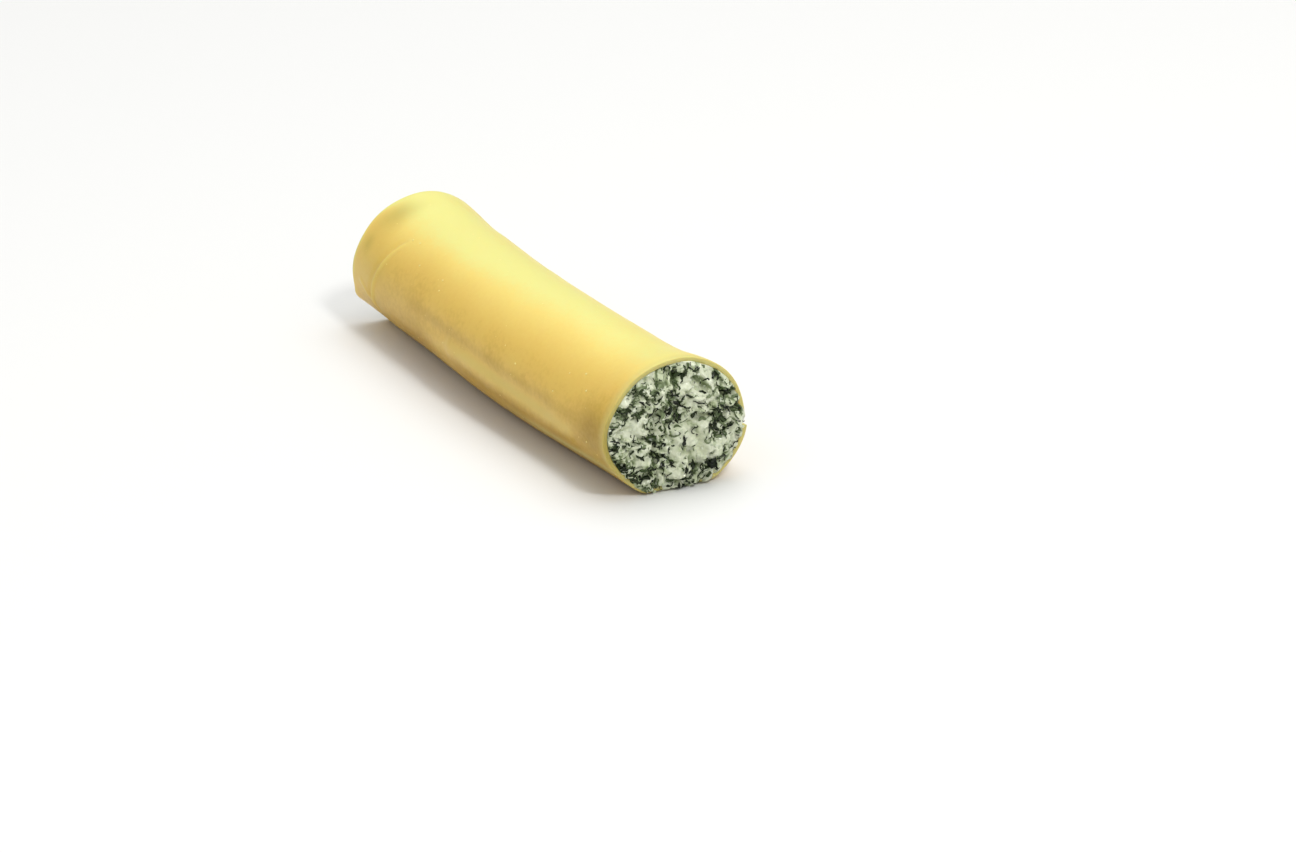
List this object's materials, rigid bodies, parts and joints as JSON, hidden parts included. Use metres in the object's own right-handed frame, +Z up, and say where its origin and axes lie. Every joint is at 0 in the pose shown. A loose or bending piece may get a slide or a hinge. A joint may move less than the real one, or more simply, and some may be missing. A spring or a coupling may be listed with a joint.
{
  "type": "filled cannelloni roll",
  "caption": "Fresh egg pasta sheet lapped round a spinach and ricotta filling, an open-ended roll lying on its side.",
  "frame": {"origin": "middle of the base of the bounding box, on the surface that the roll lies on", "axes": "+X along the roll towards the cut end that shows the filling, +Y towards the side with the sheet's free edge, +Z up"},
  "size_m": [0.1056, 0.0312, 0.0255],
  "materials": {
    "fresh_egg_pasta": "moist satin, slightly translucent",
    "spinach_and_ricotta": "moist, coarse, white curd mixed with dark green leaf"
  },
  "bodies": {
    "root": {"pasta_sheet": "fresh_egg_pasta", "filling": "spinach_and_ricotta"}
  },
  "joints": []
}
